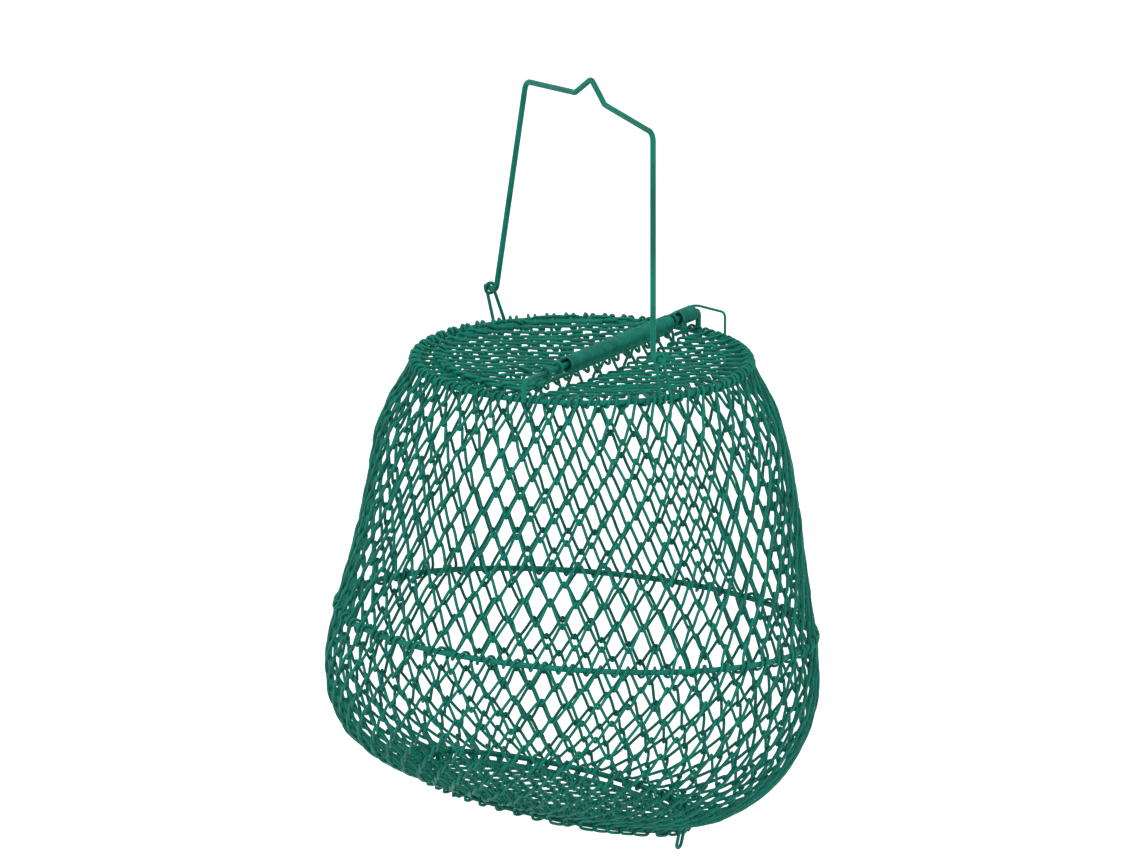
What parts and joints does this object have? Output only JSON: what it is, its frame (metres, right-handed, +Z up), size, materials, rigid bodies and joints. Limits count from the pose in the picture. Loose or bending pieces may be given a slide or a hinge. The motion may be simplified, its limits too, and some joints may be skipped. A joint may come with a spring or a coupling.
{
  "type": "collapsible wire basket trap",
  "caption": "Collapsible knitted-wire basket with three hoops, a hinged sprung lid, a bottom door with a latch and a wire bail for hanging.",
  "frame": {"origin": "hanging point: inside of the hump in the middle of the bail", "axes": "+Z up, parallel to the basket's axis; +X along the bail, towards one of its links; +Y from the bail towards the basket's axis, which stands 18 mm from it"},
  "size_m": [0.3422, 0.3422, 0.5308],
  "materials": {
    "frame_wire": "plastic-coated steel wire, satin gloss",
    "knitted_wire": "thin plastic-coated knitted wire, satin gloss",
    "spring_wire": "coated spring wire, satin"
  },
  "bodies": {
    "bail": {"bail_handle": "frame_wire"},
    "top": {"bail_link_near": "frame_wire", "bail_link_far": "frame_wire", "top_hoop": "frame_wire", "hinge_bar": "frame_wire", "lid_spring": "spring_wire", "rim_net": "knitted_wire", "top_net": "knitted_wire", "upper_net_row_01": "knitted_wire", "upper_net_row_02": "knitted_wire", "upper_net_row_03": "knitted_wire", "upper_net_row_04": "knitted_wire", "upper_net_row_05": "knitted_wire", "upper_net_row_06": "knitted_wire", "upper_net_row_07": "knitted_wire", "upper_net_row_08": "knitted_wire", "upper_net_row_09": "knitted_wire", "upper_net_row_10": "knitted_wire", "upper_net_row_11": "knitted_wire", "upper_net_row_12": "knitted_wire", "upper_net_row_13": "knitted_wire"},
    "lid": {"lid_frame": "frame_wire", "lid_net": "knitted_wire", "spring_lid_leg": "spring_wire"},
    "middle": {"middle_hoop": "frame_wire", "lower_net_row_01": "knitted_wire", "lower_net_row_02": "knitted_wire", "lower_net_row_03": "knitted_wire", "lower_net_row_04": "knitted_wire", "lower_net_row_05": "knitted_wire", "lower_net_row_06": "knitted_wire", "lower_net_row_07": "knitted_wire", "lower_net_row_08": "knitted_wire", "lower_net_row_09": "knitted_wire", "lower_net_row_10": "knitted_wire", "lower_net_row_11": "knitted_wire", "lower_net_row_12": "knitted_wire", "lower_net_row_13": "knitted_wire"},
    "bottom": {"bottom_hoop": "frame_wire"},
    "door": {"door_frame": "frame_wire", "door_net": "knitted_wire"},
    "latch": {"latch_loop": "frame_wire"}
  },
  "joints": [
    {"name": "bail_swing", "type": "hinge", "parent": "bail", "child": "top", "pos_m": [0, 0, -0.1695], "axis": [1, 0, 0], "range_deg": [-90, 90]},
    {"name": "lid_hinge", "type": "hinge", "parent": "top", "child": "lid", "pos_m": [0.02106, 0.01889, -0.18152], "axis": [-0.4993, 0.863, 0.0771], "range_deg": [0, 80], "stiffness_Nm_per_rad": 0.12, "springref_deg": -34.38},
    {"name": "mid_fold", "type": "slide", "parent": "top", "child": "middle", "axis": [0, 0, 1], "range_m": [0, 0.15], "deforming": ["upper_net_row_01", "upper_net_row_02", "upper_net_row_03", "upper_net_row_04", "upper_net_row_05", "upper_net_row_06", "upper_net_row_07", "upper_net_row_08", "upper_net_row_09", "upper_net_row_10", "upper_net_row_11", "upper_net_row_12", "upper_net_row_13"]},
    {"name": "bottom_fold", "type": "slide", "parent": "middle", "child": "bottom", "axis": [0, 0, 1], "range_m": [0, 0.09], "deforming": ["lower_net_row_01", "lower_net_row_02", "lower_net_row_03", "lower_net_row_04", "lower_net_row_05", "lower_net_row_06", "lower_net_row_07", "lower_net_row_08", "lower_net_row_09", "lower_net_row_10", "lower_net_row_11", "lower_net_row_12", "lower_net_row_13"]},
    {"name": "door_hinge", "type": "hinge", "parent": "bottom", "child": "door", "pos_m": [-0.07875, -0.05037, -0.48917], "axis": [-0.644, 0.7602, -0.0857], "range_deg": [0, 95]},
    {"name": "latch_swing", "type": "hinge", "parent": "bottom", "child": "latch", "pos_m": [0.07927, 0.06607, -0.50979], "axis": [0.5509, -0.8288, 0.0978], "range_deg": [0, 80]}
  ],
  "couplings": [
    {"joint": "bottom_fold", "follows": "mid_fold", "ratio": 0.6}
  ]
}
